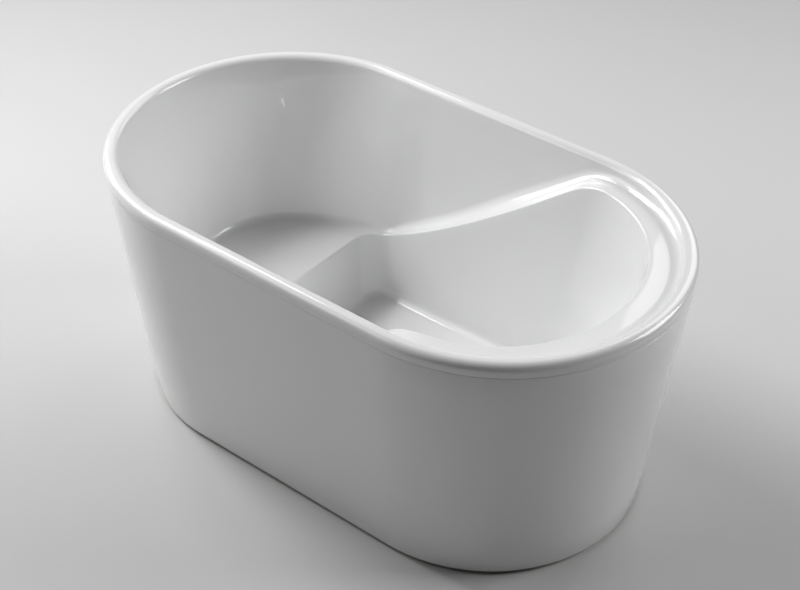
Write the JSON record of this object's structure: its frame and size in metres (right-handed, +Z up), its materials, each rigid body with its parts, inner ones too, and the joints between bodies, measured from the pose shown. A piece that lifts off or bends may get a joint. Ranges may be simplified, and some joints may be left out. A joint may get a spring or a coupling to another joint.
{
  "type": "free-standing bathtub",
  "caption": "Round-ended free-standing soaking bath with a rolled rim, a raised inner seat, sloping armrests, an end ledge and a deep well, on a hidden levelled steel frame.",
  "frame": {"origin": "centre of the bath's base, on the floor under the foot pads", "axes": "+X along the bath from the seat's end to the ledge's end, +Y across it, +Z up"},
  "size_m": [1.4, 0.808, 0.63],
  "materials": {
    "white_acrylic": "gloss white cast acrylic",
    "board": "raw particle board",
    "galvanised_steel": "galvanised steel tube and plate",
    "zinc_steel": "zinc-plated fasteners",
    "dark_plastic": "black moulded plastic",
    "chrome": "polished chrome",
    "seal_rubber": "soft black rubber",
    "brass": "turned brass",
    "white_plastic": "white moulded plastic"
  },
  "bodies": {
    "tub": {"basin": "white_acrylic", "skirt": "white_acrylic", "floor_board": "board", "seat_board": "board", "rail_front": "galvanised_steel", "rail_back": "galvanised_steel", "cross_1": "galvanised_steel", "cross_2": "galvanised_steel", "cross_3": "galvanised_steel", "cross_4": "galvanised_steel", "cross_5": "galvanised_steel", "post_1": "galvanised_steel", "post_2": "galvanised_steel", "post_3": "galvanised_steel", "post_4": "galvanised_steel", "bearer_1": "galvanised_steel", "bearer_2": "galvanised_steel", "bracket_1": "galvanised_steel", "bracket_2": "galvanised_steel", "bracket_3": "galvanised_steel", "bracket_4": "galvanised_steel", "bracket_5": "galvanised_steel", "bracket_6": "galvanised_steel", "bracket_screws": "zinc_steel", "board_screws": "zinc_steel", "rail_caps": "dark_plastic", "weld_nuts": "zinc_steel", "lock_nuts": "zinc_steel", "waste_flange": "chrome", "waste_top_seal": "seal_rubber", "waste_bottom_seal": "seal_rubber", "waste_body": "white_plastic", "click_cartridge": "brass", "overflow_cover": "chrome", "overflow_screw": "chrome", "overflow_seal": "seal_rubber", "overflow_elbow": "white_plastic", "overflow_pipe": "white_plastic", "overflow_bend": "white_plastic", "branch_pipe": "white_plastic", "pipe_nut": "dark_plastic"},
    "foot_1": {"foot_stud_1": "zinc_steel", "foot_pad_1": "dark_plastic"},
    "foot_2": {"foot_stud_2": "zinc_steel", "foot_pad_2": "dark_plastic"},
    "foot_3": {"foot_stud_3": "zinc_steel", "foot_pad_3": "dark_plastic"},
    "foot_4": {"foot_stud_4": "zinc_steel", "foot_pad_4": "dark_plastic"},
    "foot_5": {"foot_stud_5": "zinc_steel", "foot_pad_5": "dark_plastic"},
    "stopper": {"stopper_cap": "chrome", "stopper_seal": "seal_rubber", "stopper_stem": "chrome"}
  },
  "joints": [
    {"name": "foot_1_screw", "type": "slide", "parent": "tub", "child": "foot_1", "axis": [0, 0, -1], "range_m": [-0.008, 0.015]},
    {"name": "foot_2_screw", "type": "slide", "parent": "tub", "child": "foot_2", "axis": [0, 0, -1], "range_m": [-0.008, 0.015]},
    {"name": "foot_3_screw", "type": "slide", "parent": "tub", "child": "foot_3", "axis": [0, 0, -1], "range_m": [-0.008, 0.015]},
    {"name": "foot_4_screw", "type": "slide", "parent": "tub", "child": "foot_4", "axis": [0, 0, -1], "range_m": [-0.008, 0.015]},
    {"name": "foot_5_screw", "type": "slide", "parent": "tub", "child": "foot_5", "axis": [0, 0, -1], "range_m": [-0.008, 0.015]},
    {"name": "stopper_press", "type": "slide", "parent": "tub", "child": "stopper", "axis": [0, 0, 1], "range_m": [-0.008, 0]}
  ]
}
